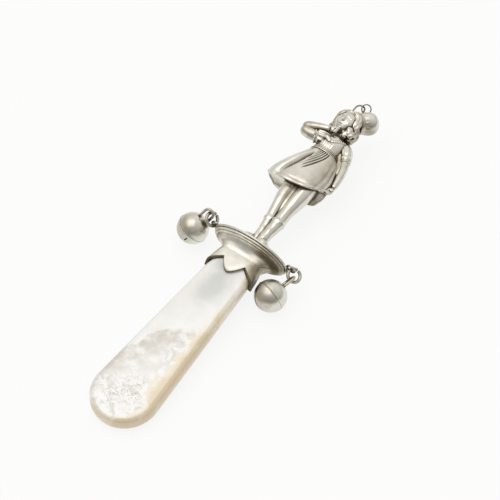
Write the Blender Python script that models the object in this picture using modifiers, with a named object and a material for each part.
"""Silver and mother-of-pearl baby rattle with a figure, two bells and a flat handle.

The rattle lies on its back on a table. In the frame of the root empty x points to the
right, y runs along the rattle from the handle to the head, and z is the figure's front.
"""

import math

import bmesh
import bpy
from mathutils import Matrix, Vector

MM = 0.001

# Clearances and sheet metal
GAP = 0.3 * MM
COLLAR_WALL = 0.45 * MM
FIGURE_WALL = 0.45 * MM
BELL_WALL = 0.4 * MM

# Mother-of-pearl handle
HANDLE_END = 62.0 * MM
HANDLE_WIDTH = 18.7 * MM
HANDLE_NECK_WIDTH = 13.2 * MM
HANDLE_THICKNESS = 4.6 * MM
HANDLE_ROUND_END = 9.5 * MM
HANDLE_EDGE = 1.4 * MM
TANG_WIDTH = 10.9 * MM

# Oval stage
STAGE_WIDTH = 23.6 * MM
STAGE_DEPTH = 13.5 * MM
STAGE_TOP = 0.9 * MM
STAGE_UNDERSIDE = 0.15 * MM
STAGE_BEAD = 0.7 * MM
STAGE_DISH = 0.12 * MM

# Drawn collar below the stage
FLANGE_STEP = 0.55 * MM
FLANGE_STEP_HEIGHT = 0.6 * MM
COVE_BOTTOM = 3.2 * MM
COVE_HOLLOW = 1.5
PETAL_NOTCH = 6.7 * MM
PETAL_LENGTH = 3.5 * MM
PETAL_HALF_WIDTH = 3.35 * MM
PETAL_ROUND = 1.5
COLLAR_SQUARENESS = 4.5

# Figure, with heights above the stage's middle plane
SKIRT_HEM = 22.0 * MM
HEM_RISE = 2.2 * MM
HEM_SLANT = 0.75 * MM
HEM_HOLLOW = 0.5
WAIST = 37.6 * MM
SHOULDER = 43.2 * MM
FIGURE_FORWARD = 0.2 * MM
HEAD_CENTRE = Vector((-2.1, 48.8, 0.8)) * MM
HEAD_RADIUS = 3.9 * MM
CROWN_OFFSET = Vector((0.2, 1.6, -1.0)) * MM
CROWN_SPREAD = Vector((0.4, 0.0, -0.3)) * MM
CAP_CENTRE = Vector((2.0, 53.8, -1.3)) * MM
CAP_RADIUS = 3.3 * MM
CAP_SHAPE = (1.0, 1.05, 0.9)
CAP_TURN = -25
SKIRT_PLEATS = 10
SKIRT_PLEAT_DEPTH = 0.045

# Skirt from the hem up, in millimetres: share of the height, half width, half depth, middle
SKIRT_SECTIONS = (
    (0.0, 8.9, 4.5, -2.9),
    (0.15, 8.7, 4.5, -2.85),
    (0.3, 8.1, 4.4, -2.7),
    (0.45, 7.4, 4.2, -2.5),
    (0.6, 6.6, 3.9, -2.3),
    (0.8, 5.2, 3.3, -2.0),
    (1.0, 3.8, 2.8, -1.75),
)

# Bodice, shoulders and neck: height, then middle, half width and half depth in millimetres
TORSO_SECTIONS = (
    (WAIST - 1.5 * MM, -1.7, 3.7, 2.7),
    (WAIST, -1.7, 3.6, 2.7),
    (WAIST + 2.4 * MM, -1.7, 4.0, 2.9),
    (SHOULDER - 1.2 * MM, -1.7, 4.2, 2.6),
    (SHOULDER, -1.8, 3.6, 2.0),
    (SHOULDER + 0.9 * MM, -1.9, 1.9, 1.6),
    (SHOULDER + 3.0 * MM, -1.9, 1.6, 1.6),
)

# Limbs, in millimetres: places along the limb with the radius there
LIMBS = {
    "right_leg": (
        (-1.0, 3.0, 0.0, 1.0), (-0.8, 7.5, -0.2, 1.05), (-1.4, 11.5, -0.1, 1.35),
        (-2.5, 17.0, 0.3, 1.65), (-2.9, 26.0, 0.3, 2.1),
    ),
    "left_leg": (
        (0.8, 3.0, 0.3, 1.15), (0.85, 6.5, 0.3, 1.25), (1.15, 11.0, 0.2, 1.7),
        (1.2, 17.0, 0.4, 2.0), (1.3, 26.0, 0.3, 2.5),
    ),
    "right_upper_arm": ((-4.0, 41.4, 1.0, 1.7), (-7.2, 40.2, 2.0, 1.55), (-10.8, 40.3, 1.8, 1.4)),
    "right_forearm": ((-10.8, 40.6, 1.9, 1.3), (-8.0, 42.2, 2.8, 1.15), (-3.6, 43.3, 3.6, 0.85)),
    "left_arm": (
        (1.6, 42.2, 0.2, 1.7), (4.9, 39.2, 0.3, 1.5), (6.4, 34.0, 0.4, 1.2), (7.2, 28.4, 0.6, 0.95),
    ),
}
LIMB_END_WALL = 0.12

# Rounded forms, in millimetres: centre, three radii, and turns about y and z in degrees
ROUND_FORMS = {
    "right_shoe": ((-1.9, 2.1, 0.9), (1.3, 1.25, 2.4), -32, 0),
    "left_shoe": ((1.2, 2.1, 1.0), (1.4, 1.25, 2.4), 12, 0),
    "elbow": ((-10.9, 40.4, 1.8), (1.4, 1.4, 1.4), 0, 0),
    "right_hand": ((-3.0, 43.6, 3.7), (1.3, 0.9, 0.9), 0, 15),
    "left_hand": ((7.0, 27.4, 0.9), (1.0, 1.5, 0.9), 0, 12),
    "right_sleeve": ((-5.5, 41.1, 1.2), (2.2, 2.0, 1.9), 0, 0),
    "left_sleeve": ((3.4, 40.8, 0.2), (1.8, 2.4, 1.8), 0, 40),
}

# Curls beside the head, in millimetres: height and reach from its middle, and radius
CURLS = ((1.3, 3.3, 1.7), (-1.2, 3.6, 1.7), (-3.4, 3.2, 1.6))
CURL_BACK = -0.7

# Loops, rings and bells
LUG_RADIUS = 1.2 * MM
LUG_WIRE = 0.3 * MM
RING_RADIUS = 1.8 * MM
RING_WIRE = 0.42 * MM
RING_OPENING = math.radians(14)
BELL_RADIUS = 4.4 * MM
BELL_BEAD = 0.12 * MM
SLOT_WIDTH = 0.65 * MM
EYE_HALF_WIDTH = 1.33 * MM
EYE_WIRE = 0.38 * MM
EYE_HEIGHT = 2.3 * MM
PELLET_RADIUS = 1.2 * MM
HAT_LOOP_RADIUS = 1.3 * MM
HAT_LOOP_WIRE = 0.28 * MM
HAT_LOOP_OUT = -0.5 * MM
HAT_LOOP_RISE = 1.4 * MM
HANG_RING_RADIUS = 1.3 * MM
HANG_RING_WIRE = 0.2 * MM

# How the loose pieces lie, in degrees: ring swing and lean, place of the bell on its ring,
# the way that the bell points on the table, and the turn of its slot and the ring's opening;
# a bell with no heading lies against the collar's neck
LOOSE = {
    "left": {"swing": 230, "lean": 6, "place": 0, "heading": -132, "slot": 0, "opening": 120},
    "right": {"swing": 35, "lean": -25, "place": -65, "heading": None, "slot": 0, "opening": 150},
}
HANG_RING_PLACE = math.radians(35)
HANG_RING_TURN = math.radians(-45)


# Scene, collections and materials

for old in list(bpy.data.objects):
    bpy.data.objects.remove(old)

PARTS = bpy.data.collections.new("baby_rattle")
CUTTERS = bpy.data.collections.new("cutters")
bpy.context.scene.collection.children.link(PARTS)
bpy.context.scene.collection.children.link(CUTTERS)


def finish(name, colour, roughness, metallic):
    """A Principled material."""
    made = bpy.data.materials.new(name)
    made.use_nodes = True
    shader = made.node_tree.nodes["Principled BSDF"]
    shader.inputs["Base Color"].default_value = (*colour, 1.0)
    shader.inputs["Roughness"].default_value = roughness
    shader.inputs["Metallic"].default_value = metallic
    return made


SILVER = finish("silver", (0.72, 0.69, 0.62), 0.28, 1.0)
PEARL = finish("mother_of_pearl", (0.88, 0.86, 0.82), 0.2, 0.0)
CEMENT = finish("cement", (0.25, 0.2, 0.15), 0.8, 0.0)


# Helpers


def empty(name, parent, matrix):
    """An empty that carries pieces, placed in its parent's frame."""
    made = bpy.data.objects.new(name, None)
    made.parent = parent
    made.matrix_local = matrix
    PARTS.objects.link(made)
    return made


def part(name, mesh, coat, parent):
    """A finished piece of the rattle."""
    made = bpy.data.objects.new(name, mesh)
    mesh.materials.clear()
    mesh.materials.append(coat)
    mesh.shade_smooth()
    mesh.set_sharp_from_angle(angle=math.radians(40))
    made.parent = parent
    PARTS.objects.link(made)
    return made


def cutter(name, data):
    """A helper object that only shapes other pieces."""
    made = bpy.data.objects.new(name, data)
    made.hide_render = True
    made.display_type = "WIRE"
    CUTTERS.objects.link(made)
    return made


def boolean(target, operation, other):
    """A Boolean modifier with the exact solver."""
    step = target.modifiers.new(other.name, "BOOLEAN")
    step.operation = operation
    step.solver = "EXACT"
    step.object = other


def baked(made):
    """The object's shape with its modifiers, as a plain mesh whose caps are welded."""
    bpy.context.view_layer.update()
    graph = bpy.context.evaluated_depsgraph_get()
    mesh = bpy.data.meshes.new_from_object(made.evaluated_get(graph))
    bm = bmesh.new()
    bm.from_mesh(mesh)
    bmesh.ops.remove_doubles(bm, verts=bm.verts, dist=0.001 * MM)
    bm.to_mesh(mesh)
    bm.free()
    return mesh


def skin(name, rows, ring=False):
    """A mesh over rows of points that each run once round: capped, or closed in a ring."""
    mesh = bpy.data.meshes.new(name)
    bm = bmesh.new()
    grid = [[bm.verts.new(point) for point in row] for row in rows]
    bands = list(zip(grid, grid[1:]))
    if ring:
        bands.append((grid[-1], grid[0]))
    for upper, lower in bands:
        for i in range(len(upper)):
            j = (i + 1) % len(upper)
            bm.faces.new((upper[i], upper[j], lower[j], lower[i]))
    if not ring:
        bm.faces.new(grid[0])
        bm.faces.new(grid[-1])
    bmesh.ops.recalc_face_normals(bm, faces=bm.faces)
    bm.to_mesh(mesh)
    bm.free()
    return mesh


def oval(half_width, half_depth, turn, squareness=2.0):
    """A point of a superellipse: squareness 2 is an ellipse."""
    c = math.cos(turn)
    s = math.sin(turn)
    x = half_width * math.copysign(abs(c) ** (2 / squareness), c)
    z = half_depth * math.copysign(abs(s) ** (2 / squareness), s)
    return x, z


def oval_row(y, half_width, half_depth, turns, squareness=2.0):
    """One row of points round an oval at height y."""
    row = []
    for turn in turns:
        x, z = oval(half_width, half_depth, turn, squareness)
        row.append((x, y, z))
    return row


def round_turns(count):
    """Angles of evenly spaced columns."""
    return [2 * math.pi * i / count for i in range(count)]


def wire(name, points, radius, closed=False):
    """The mesh of a round wire along points."""
    data = bpy.data.curves.new(name, "CURVE")
    data.dimensions = "3D"
    data.bevel_depth = radius
    data.bevel_resolution = 2
    data.use_fill_caps = True
    spline = data.splines.new("POLY")
    spline.points.add(len(points) - 1)
    for point, place in zip(spline.points, points):
        point.co = (*place, 1.0)
    spline.use_cyclic_u = closed
    guide = cutter(name + "_guide", data)
    mesh = baked(guide)
    bpy.data.objects.remove(guide)
    return mesh


def limb(name, points, radii):
    """A tapered limb along a smooth curve, as a helper mesh."""
    data = bpy.data.curves.new(name, "CURVE")
    data.dimensions = "3D"
    data.bevel_depth = MM
    data.bevel_resolution = 2
    data.use_fill_caps = True
    data.resolution_u = 3
    spline = data.splines.new("NURBS")
    spline.points.add(len(points) - 1)
    for point, place, radius in zip(spline.points, points, radii):
        point.co = (place[0] * MM, place[1] * MM, place[2] * MM, 1.0)
        point.radius = radius
    spline.order_u = 3
    spline.use_endpoint_u = True
    guide = cutter(name + "_guide", data)
    mesh = baked(guide)
    bpy.data.objects.remove(guide)
    return cutter(name, mesh)


def ball(name, centre, radii, turn=(0, 0, 0), segments=10):
    """An ellipsoid, as a helper mesh; the turn is in degrees about x, y and z."""
    mesh = bpy.data.meshes.new(name)
    bm = bmesh.new()
    place = Matrix.Translation(centre)
    for angle, axis in zip(turn, "XYZ"):
        place = place @ Matrix.Rotation(math.radians(angle), 4, axis)
    place = place @ Matrix.Diagonal((*radii, 1.0))
    bmesh.ops.create_uvsphere(bm, u_segments=segments, v_segments=segments * 5 // 8, radius=1.0, matrix=place)
    bm.to_mesh(mesh)
    bm.free()
    return cutter(name, mesh)


def box(name, low, high):
    """A plain block between two corners, as a helper mesh."""
    mesh = bpy.data.meshes.new(name)
    bm = bmesh.new()
    middle = (Vector(low) + Vector(high)) / 2
    size = Vector(high) - Vector(low)
    place = Matrix.Translation(middle) @ Matrix.Diagonal((*size, 1.0))
    bmesh.ops.create_cube(bm, size=1.0, matrix=place)
    bm.to_mesh(mesh)
    bm.free()
    return cutter(name, mesh)


# The rattle lies on the back of the stage's rim and the end of the handle

RIM_MIDDLE = (STAGE_TOP + STAGE_UNDERSIDE) / 2
LIE_RUN = HANDLE_END - HANDLE_EDGE + RIM_MIDDLE
LIE_TILT = math.atan2((STAGE_DEPTH - HANDLE_THICKNESS) / 2, LIE_RUN)
LIE_HEIGHT = STAGE_DEPTH / 2 * math.cos(LIE_TILT) - RIM_MIDDLE * math.sin(LIE_TILT)
LIE = Matrix.Translation((0, 0, LIE_HEIGHT)) @ Matrix.Rotation(LIE_TILT, 4, "X")
ROOT = empty("rattle", None, LIE)


# Mother-of-pearl handle

TANG_TOP = COVE_BOTTOM + GAP
COLLAR_MOUTH = PETAL_NOTCH + PETAL_LENGTH


def handle():
    """The blade: a flat outline with a tang, straight tapering sides and a half-oval end."""
    side_end = -(HANDLE_END - HANDLE_ROUND_END)
    right = [(TANG_WIDTH / 2, -TANG_TOP), (HANDLE_NECK_WIDTH / 2, -COLLAR_MOUTH)]
    steps = 14
    for i in range(steps + 1):
        turn = math.pi / 2 * i / steps
        x = HANDLE_WIDTH / 2 * math.cos(turn)
        right.append((x, side_end - HANDLE_ROUND_END * math.sin(turn)))
    left = [(-x, y) for x, y in reversed(right[:-1])]
    data = bpy.data.curves.new("pearl_handle", "CURVE")
    data.dimensions = "2D"
    data.fill_mode = "BOTH"
    data.extrude = HANDLE_THICKNESS / 2 - HANDLE_EDGE
    data.bevel_depth = HANDLE_EDGE
    data.bevel_resolution = 2
    data.offset = -HANDLE_EDGE
    outline = data.splines.new("POLY")
    outline.points.add(len(right) + len(left) - 1)
    for point, (x, y) in zip(outline.points, right + left):
        point.co = (x, y, 0.0, 1.0)
    outline.use_cyclic_u = True
    guide = cutter("handle_guide", data)
    mesh = baked(guide)
    bpy.data.objects.remove(guide)
    part("pearl_handle", mesh, PEARL, ROOT)


# Collar, stage and cement

COLLAR_TAPER = (HANDLE_NECK_WIDTH - TANG_WIDTH) / 2 / (COLLAR_MOUTH - TANG_TOP)
COLLAR_HALF_DEPTH = HANDLE_THICKNESS / 2 + GAP + COLLAR_WALL
FLANGE_TOP = STAGE_UNDERSIDE - GAP


def collar_half_width(y):
    """Half width of the collar below the cove: the tang's taper, a gap and the wall."""
    return TANG_WIDTH / 2 + COLLAR_TAPER * (-y - TANG_TOP) + GAP + COLLAR_WALL


NECK_HALF_WIDTH = collar_half_width(-COVE_BOTTOM)
NOTCH_SHARE = PETAL_HALF_WIDTH / collar_half_width(-PETAL_NOTCH)
NOTCH_TURN = math.acos(NOTCH_SHARE ** (COLLAR_SQUARENESS / 2))


def petal_columns():
    """Columns round the collar: each one's angle and its place across its petal, -1 to 1."""
    spans = [
        (-NOTCH_TURN, NOTCH_TURN, 14),
        (NOTCH_TURN, math.pi - NOTCH_TURN, 10),
        (math.pi - NOTCH_TURN, math.pi + NOTCH_TURN, 14),
        (math.pi + NOTCH_TURN, 2 * math.pi - NOTCH_TURN, 10),
    ]
    columns = []
    for start, end, count in spans:
        for i in range(count):
            share = i / count
            columns.append((start + (end - start) * share, 2 * share - 1))
    return columns


def collar_sizes(share):
    """Half width, half depth and squareness down the cove, from the flange (0) to the neck (1)."""
    open_share = (1 - share) ** COVE_HOLLOW
    flange_half_width = STAGE_WIDTH / 2 - 2 * FLANGE_STEP
    flange_half_depth = STAGE_DEPTH / 2 - 2 * FLANGE_STEP
    half_width = NECK_HALF_WIDTH + (flange_half_width - NECK_HALF_WIDTH) * open_share
    half_depth = COLLAR_HALF_DEPTH + (flange_half_depth - COLLAR_HALF_DEPTH) * open_share
    squareness = 2 + (COLLAR_SQUARENESS - 2) * share
    return half_width, half_depth, squareness


def cove_rows(turns, inset, top):
    """Rows down the cove, moved inwards by the inset."""
    rows = []
    steps = 5
    for i in range(steps + 1):
        share = i / steps
        half_width, half_depth, squareness = collar_sizes(share)
        y = top - (COVE_BOTTOM + top) * share
        rows.append(oval_row(y, half_width - inset, half_depth - inset, turns, squareness))
    return rows


def petal_rows(columns, inset):
    """Rows from the neck to the petals' edge, moved inwards by the inset."""
    rows = []
    steps = 3
    for i in range(1, steps + 1):
        row = []
        for turn, across in columns:
            edge = -PETAL_NOTCH - PETAL_LENGTH * (1 - abs(across) ** PETAL_ROUND)
            y = -COVE_BOTTOM + (edge + COVE_BOTTOM) * i / steps
            half_width = collar_half_width(y) - inset
            half_depth = COLLAR_HALF_DEPTH - inset
            x, z = oval(half_width, half_depth, turn, COLLAR_SQUARENESS)
            row.append((x, y, z))
        rows.append(row)
    return rows


def collar():
    """One drawn sheet: two steps under the rim, a cove, and four petals over the handle."""
    columns = petal_columns()
    turns = [turn for turn, across in columns]
    rows = []
    top = FLANGE_TOP
    for step in (1, 2):
        half_width = STAGE_WIDTH / 2 - step * FLANGE_STEP
        half_depth = STAGE_DEPTH / 2 - step * FLANGE_STEP
        rows.append(oval_row(top, half_width, half_depth, turns))
        top -= FLANGE_STEP_HEIGHT
        rows.append(oval_row(top, half_width, half_depth, turns))
    rows.extend(cove_rows(turns, 0.0, top)[1:])
    rows.extend(petal_rows(columns, 0.0))
    inner = cove_rows(turns, COLLAR_WALL, FLANGE_TOP)
    inner.extend(petal_rows(columns, COLLAR_WALL))
    rows.extend(reversed(inner))
    part("socket_collar", skin("socket_collar", rows, ring=True), SILVER, ROOT)


def stage():
    """The oval plate: a round bead at the rim and a shallow dish for the figure's feet."""
    turns = round_turns(48)
    middle = (STAGE_TOP + STAGE_UNDERSIDE) / 2
    half_height = (STAGE_TOP - STAGE_UNDERSIDE) / 2
    rows = []
    steps = 6
    for i in range(steps + 1):
        turn = math.pi * (i / steps - 0.5)
        back = STAGE_BEAD / 2 * (1 - math.cos(turn))
        y = middle + half_height * math.sin(turn)
        rows.append(oval_row(y, STAGE_WIDTH / 2 - back, STAGE_DEPTH / 2 - back, turns))
    inside = 2 * STAGE_BEAD
    dish = STAGE_TOP - STAGE_DISH
    rows.append(oval_row(dish, STAGE_WIDTH / 2 - inside, STAGE_DEPTH / 2 - inside, turns))
    part("stage_plate", skin("stage_plate", rows), SILVER, ROOT)


def cement():
    """The set filling between the tang and the stage."""
    turns = round_turns(32)
    top = FLANGE_TOP
    bottom = -TANG_TOP + GAP
    rows = []
    steps = 4
    for i in range(steps + 1):
        share = i / steps
        half_width, half_depth, squareness = collar_sizes(share)
        inset = COLLAR_WALL + 2 * GAP
        y = top + (bottom - top) * share
        rows.append(oval_row(y, half_width - inset, half_depth - inset, turns, squareness))
    part("socket_cement", skin("socket_cement", rows), CEMENT, ROOT)


# Figure


def skirt(inset):
    """A bell of oval sections from a hollow under the hem to the waist, rippled by pleats."""
    turns = round_turns(4 * SKIRT_PLEATS if inset == 0 else 20)
    rows = []
    for share, half_width, half_depth, middle in (SKIRT_SECTIONS[0],) + SKIRT_SECTIONS:
        under = len(rows) == 0
        size = HEM_HOLLOW if under else 1.0
        hem_share = 1 - share
        ripple = SKIRT_PLEAT_DEPTH * hem_share if inset == 0 and not under else 0.0
        lift = inset if share == 0 else 0.0
        row = []
        for turn in turns:
            grow = size * (1 + ripple * math.cos(SKIRT_PLEATS * turn))
            x, z = oval((half_width * MM - inset) * grow, (half_depth * MM - inset) * grow, turn)
            hem = SKIRT_HEM + HEM_RISE * math.cos(turn) ** 2 + HEM_SLANT * math.cos(turn)
            if under:
                hem = SKIRT_HEM + HEM_RISE
            y = hem + (WAIST - hem) * share + lift
            row.append((middle * MM + x, y, z + FIGURE_FORWARD))
        rows.append(row)
    return cutter("skirt_form", skin("skirt_form", rows))


def torso(inset):
    """Bodice, shoulders and neck, as oval sections going up."""
    turns = round_turns(20)
    rows = []
    for y, middle, half_width, half_depth in TORSO_SECTIONS:
        row = oval_row(y, half_width * MM - inset, half_depth * MM - inset, turns)
        rows.append([(x + middle * MM, height, z + FIGURE_FORWARD) for x, height, z in row])
    return cutter("torso_form", skin("torso_form", rows))


def figure_limbs(inset):
    """Legs and arms: the right arm bends up to the chin, the left one reaches down to the skirt."""
    forms = []
    for name, route in LIMBS.items():
        points = [Vector(stop[:3]) for stop in route]
        sizes = [stop[3] - inset / MM for stop in route]
        if inset:
            for end, inner in ((0, 1), (-1, -2)):
                points[end] = points[end].lerp(points[inner], LIMB_END_WALL)
        forms.append(limb(name + "_form", points, sizes))
    return forms


CROWN_CENTRE = HEAD_CENTRE + CROWN_OFFSET
CROWN_RADII = Vector((HEAD_RADIUS, HEAD_RADIUS, HEAD_RADIUS)) + CROWN_SPREAD


def crown_height(x, z):
    """Height of the hair's surface over a place near the top of the head."""
    across = (x - CROWN_CENTRE.x) / CROWN_RADII.x
    deep = (z - CROWN_CENTRE.z) / CROWN_RADII.z
    return CROWN_CENTRE.y + CROWN_RADII.y * math.sqrt(1 - across**2 - deep**2)


def figure_trim():
    """Solid forms outside the hollow: shoes, hands, sleeves, hair and cap."""
    forms = []
    for name, (centre, radii, about_y, about_z) in ROUND_FORMS.items():
        sizes = [radius * MM for radius in radii]
        forms.append(ball(name + "_form", Vector(centre) * MM, sizes, (0, about_y, about_z)))
    for side in (-1, 1):
        for level, out, size in CURLS:
            centre = HEAD_CENTRE + Vector((side * out, level, CURL_BACK)) * MM
            forms.append(ball("curl_form", centre, [size * MM] * 3, segments=8))
    forms.append(ball("crown_form", CROWN_CENTRE, CROWN_RADII, segments=16))
    cap = [CAP_RADIUS * share for share in CAP_SHAPE]
    forms.append(ball("cap_form", CAP_CENTRE, cap, (0, 0, CAP_TURN)))
    return forms


def figure_forms(inset):
    """The head and hollow forms of the figure, all drawn in by the inset."""
    head = ball("head_form", HEAD_CENTRE, [HEAD_RADIUS - inset] * 3, segments=16)
    return [skirt(inset), torso(inset), head] + figure_limbs(inset)


def fused(forms):
    """One mesh of forms that overlap."""
    base = forms[0]
    for other in forms[1:]:
        boolean(base, "UNION", other)
    return baked(base)


def figure():
    """Two stamped half shells that meet at the side seam."""
    outside = fused(figure_forms(0.0) + figure_trim())
    hollow = cutter("figure_hollow", fused(figure_forms(FIGURE_WALL)))
    reach = 80 * MM
    halves = {
        "figure_front": box("front_half", (-reach, -reach, GAP / 2), (reach, reach, reach)),
        "figure_back": box("back_half", (-reach, -reach, -reach), (reach, reach, -GAP / 2)),
    }
    for name, half in halves.items():
        blank = cutter(name + "_blank", outside.copy())
        boolean(blank, "DIFFERENCE", hollow)
        boolean(blank, "INTERSECT", half)
        part(name, baked(blank), SILVER, ROOT)


# Loops and loose rings


def arc(radius, start, end, steps):
    """Points of an arc about the origin in the x-y plane."""
    points = []
    for i in range(steps + 1):
        turn = start + (end - start) * i / steps
        points.append(Vector((radius * math.cos(turn), radius * math.sin(turn), 0.0)))
    return points


LUG_SEAT = STAGE_TOP + GAP + LUG_WIRE
LUG_HOLE = LUG_RADIUS - LUG_WIRE
HINGE_OUT = STAGE_WIDTH / 2 + GAP + RING_WIRE
LUG_OUT = HINGE_OUT + RING_WIRE + GAP - LUG_HOLE
BELL_ARM = BELL_RADIUS + EYE_HEIGHT


def lug(side, sign):
    """A closed wire loop that lies on the rim's top, its hole just outside the rim."""
    points = []
    for turn in round_turns(16):
        x, z = oval(LUG_RADIUS, LUG_RADIUS, turn)
        points.append(Vector((sign * LUG_OUT + x, LUG_SEAT, z)))
    part(side + "_lug", wire(side + "_lug", points, LUG_WIRE, closed=True), SILVER, ROOT)


def loose_ring(side, sign):
    """An open jump ring; its empty sits in the lug's hole, on the axis that it swings about."""
    lie = LOOSE[side]
    place = Matrix.Translation((sign * HINGE_OUT, LUG_SEAT, 0.0))
    place = place @ Matrix.Rotation(math.radians(lie["swing"]), 4, "Y")
    place = place @ Matrix.Rotation(math.radians(lie["lean"]), 4, "Z")
    hinge = empty(side + "_ring_hinge", ROOT, place)
    start = math.radians(lie["opening"]) + RING_OPENING / 2
    points = arc(RING_RADIUS, start, start + 2 * math.pi - RING_OPENING, 20)
    middle = Vector((RING_RADIUS, 0.0, 0.0))
    mesh = wire(side + "_ring", [middle + point for point in points], RING_WIRE)
    part(side + "_ring", mesh, SILVER, hinge)
    return hinge, place


# Bells


def half_shell(name, sign):
    """Half of a hollow ball with a bead at the seam, turned about the bell's axis."""
    seam = GAP / 2
    steps = 6
    outer = []
    inner = []
    low = math.asin(seam / BELL_RADIUS)
    for i in range(steps + 1):
        turn = math.pi / 2 + (low - math.pi / 2) * i / steps
        bead = BELL_BEAD if i >= steps - 1 else 0.0
        outer.append(((BELL_RADIUS + bead) * math.cos(turn), BELL_RADIUS * math.sin(turn)))
        hollow = BELL_RADIUS - BELL_WALL
        inner.append((hollow * math.cos(turn), max(seam, hollow * math.sin(turn))))
    outline = outer + inner[::-1]
    outline[0] = (0.0, outline[0][1])
    outline[-1] = (0.0, outline[-1][1])
    if sign < 0:
        outline = [(x, -z) for x, z in reversed(outline)]
    mesh = bpy.data.meshes.new(name)
    edges = [(i, i + 1) for i in range(len(outline) - 1)]
    mesh.from_pydata([(x, 0.0, z) for x, z in outline], edges, [])
    made = cutter(name + "_turning", mesh)
    turned = made.modifiers.new("turned", "SCREW")
    turned.steps = 18
    turned.render_steps = 18
    turned.use_merge_vertices = True
    turned.merge_threshold = 0.001 * MM
    return made


def bell_heading(given, pivot, level_arm):
    """The way that a bell points on the table: as given, or just clear of the collar's neck."""
    if given is not None:
        return math.radians(given)
    clear = collar_half_width(-COLLAR_MOUTH) + GAP + BELL_RADIUS + BELL_BEAD
    return -math.acos((clear - pivot.x) / level_arm)


def bell(side, ring_place, hinge):
    """Staple, two half shells and the pellet; the bell lies on the table."""
    lie = LOOSE[side]
    on_ring = math.radians(lie["place"])
    out = Vector((math.cos(on_ring), math.sin(on_ring), 0.0))
    along = Vector((-math.sin(on_ring), math.cos(on_ring), 0.0))
    middle = Vector((RING_RADIUS, 0.0, 0.0))
    in_world = LIE @ ring_place
    pivot = in_world @ (middle + RING_RADIUS * out)
    axis = in_world.to_3x3() @ along
    drop = math.asin((pivot.z - BELL_RADIUS - BELL_BEAD) / BELL_ARM)
    heading = bell_heading(lie["heading"], pivot, BELL_ARM * math.cos(drop))
    level = Vector((math.cos(heading), math.sin(heading), 0.0))
    up = Vector((0.0, 0.0, math.sin(drop))) - math.cos(drop) * level
    across = (axis - up * axis.dot(up)).normalized()
    turn = Matrix((across, up.cross(across), up)).transposed().to_4x4()
    place = Matrix.Translation(pivot) @ turn
    swing = empty(side + "_bell_hinge", hinge, in_world.inverted() @ place)
    centre = Matrix.Translation((0.0, 0.0, -BELL_ARM))

    foot = math.sqrt(BELL_RADIUS**2 - (EYE_HALF_WIDTH - EYE_WIRE) ** 2) + GAP - BELL_ARM
    bow = [Vector((0.0, point.x, point.y)) for point in arc(EYE_HALF_WIDTH, 0.0, math.pi, 10)]
    points = [Vector((0.0, EYE_HALF_WIDTH, foot))] + bow + [Vector((0.0, -EYE_HALF_WIDTH, foot))]
    part(side + "_bell_eye", wire(side + "_bell_eye", points, EYE_WIRE), SILVER, swing)

    upper = half_shell(side + "_bell_top", 1)
    part(side + "_bell_top", baked(upper), SILVER, swing).matrix_local = centre
    lower = half_shell(side + "_bell_bottom", -1)
    reach = 2 * BELL_RADIUS
    half_slot = SLOT_WIDTH / 2
    cut = box(side + "_slot", (-reach, -half_slot, -reach), (reach, half_slot, -BELL_RADIUS / 6))
    cut.rotation_euler.z = math.radians(lie["slot"])
    boolean(lower, "DIFFERENCE", cut)
    part(side + "_bell_bottom", baked(lower), SILVER, swing).matrix_local = centre

    rest = BELL_RADIUS - BELL_WALL - GAP - PELLET_RADIUS
    mesh = bpy.data.meshes.new(side + "_pellet")
    bm = bmesh.new()
    bmesh.ops.create_uvsphere(bm, u_segments=14, v_segments=8, radius=PELLET_RADIUS)
    bm.to_mesh(mesh)
    bm.free()
    down = place @ centre
    seat = down.translation - Vector((0.0, 0.0, rest))
    drop_in = empty(side + "_pellet_slide", swing, place.inverted() @ Matrix.Translation(seat))
    part(side + "_pellet", mesh, SILVER, drop_in)


# Arch on the cap and its hanging ring


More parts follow.
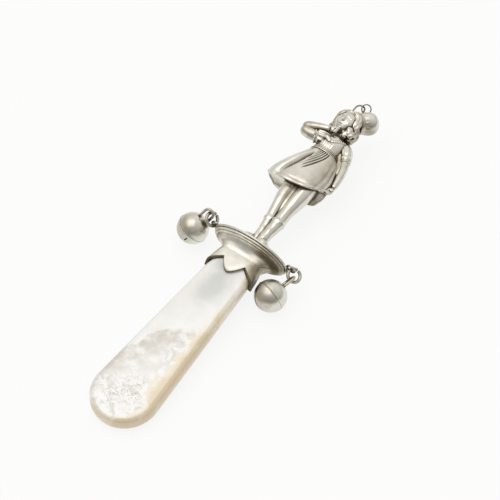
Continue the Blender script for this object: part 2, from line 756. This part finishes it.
def hat_loop():
    """A fixed arch of wire with its feet on the hair, and the loose ring that hangs in it."""
    x = HEAD_CENTRE.x + HAT_LOOP_OUT
    z = CROWN_CENTRE.z + HAT_LOOP_WIRE
    centre = Vector((x, crown_height(x, z) + HAT_LOOP_RISE, z))
    bow = [centre + point for point in arc(HAT_LOOP_RADIUS, 0.0, math.pi, 10)]
    feet = []
    for end in (bow[0], bow[-1]):
        inner = end.x + math.copysign(HAT_LOOP_WIRE, centre.x - end.x)
        feet.append(Vector((end.x, crown_height(inner, z) + GAP, z)))
    points = [feet[0]] + bow + [feet[1]]
    part("hat_loop", wire("hat_loop", points, HAT_LOOP_WIRE), SILVER, ROOT)

    reach = Vector((math.cos(HANG_RING_PLACE), math.sin(HANG_RING_PLACE), 0.0))
    pivot = centre + HAT_LOOP_RADIUS * reach
    place = Matrix.Translation(pivot) @ Matrix.Rotation(HANG_RING_PLACE, 4, "Z")
    place = place @ Matrix.Rotation(HANG_RING_TURN, 4, "X")
    hinge = empty("hang_ring_hinge", ROOT, place)
    middle = Vector((HANG_RING_RADIUS - HAT_LOOP_WIRE - GAP - HANG_RING_WIRE, 0.0, 0.0))
    points = []
    for turn in round_turns(20):
        points.append(middle + HANG_RING_RADIUS * Vector((math.cos(turn), 0.0, math.sin(turn))))
    mesh = wire("hang_ring", points, HANG_RING_WIRE, closed=True)
    part("hang_ring", mesh, SILVER, hinge)


def centre_on_table():
    """Moves the whole rattle so that the origin is on the table, under the middle of its box."""
    bpy.context.view_layer.update()
    corners = []
    for made in PARTS.objects:
        if made.type == "MESH":
            corners.extend(made.matrix_world @ vertex.co for vertex in made.data.vertices)
    low = Vector([min(corner[i] for corner in corners) for i in range(3)])
    high = Vector([max(corner[i] for corner in corners) for i in range(3)])
    ROOT.location -= Vector(((low.x + high.x) / 2, (low.y + high.y) / 2, low.z))
    bpy.context.view_layer.update()


handle()
collar()
stage()
cement()
figure()
for SIDE, SIGN in (("left", -1), ("right", 1)):
    lug(SIDE, SIGN)
    RING_HINGE, RING_PLACE = loose_ring(SIDE, SIGN)
    bell(SIDE, RING_PLACE, RING_HINGE)
hat_loop()
centre_on_table()
